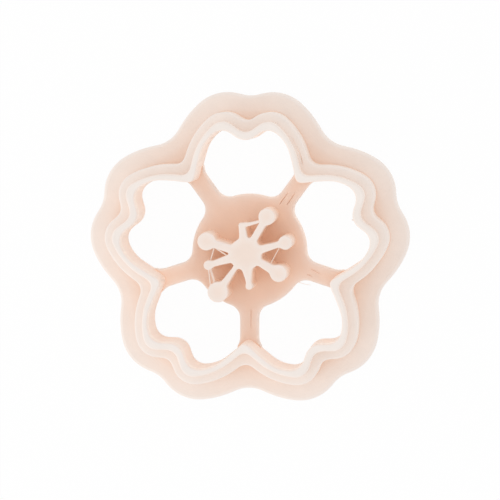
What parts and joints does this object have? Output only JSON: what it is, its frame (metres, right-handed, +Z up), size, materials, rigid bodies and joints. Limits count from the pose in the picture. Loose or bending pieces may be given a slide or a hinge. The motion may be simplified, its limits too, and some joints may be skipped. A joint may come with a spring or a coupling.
{
  "type": "cookie cutter",
  "caption": "Cherry blossom cookie cutter: a wavy grip flange, a stepped wall with a thin cutting edge, and a raised stamen stamp on a spoked hub inside.",
  "frame": {"origin": "on the flower's axis, on the flat underside that the cutter lies on", "axes": "+Z up through the cutting edge, +Y along the middle of one petal, +X across the widest part of the flange"},
  "size_m": [0.0598, 0.0577, 0.014],
  "materials": {
    "printed_plastic": "matte pale pink printed plastic, slightly translucent"
  },
  "bodies": {
    "root": {"grip_flange": "printed_plastic", "thick_wall": "printed_plastic", "cutting_blade": "printed_plastic", "hub_plate": "printed_plastic", "spoke_1": "printed_plastic", "spoke_2": "printed_plastic", "spoke_3": "printed_plastic", "spoke_4": "printed_plastic", "spoke_5": "printed_plastic", "stamp_core": "printed_plastic", "filament_1": "printed_plastic", "filament_2": "printed_plastic", "filament_3": "printed_plastic", "filament_4": "printed_plastic", "filament_5": "printed_plastic", "filament_6": "printed_plastic", "filament_7": "printed_plastic", "filament_8": "printed_plastic", "anther_1": "printed_plastic", "anther_2": "printed_plastic", "anther_3": "printed_plastic", "anther_4": "printed_plastic", "anther_5": "printed_plastic", "anther_6": "printed_plastic", "anther_7": "printed_plastic", "anther_8": "printed_plastic"}
  },
  "joints": []
}
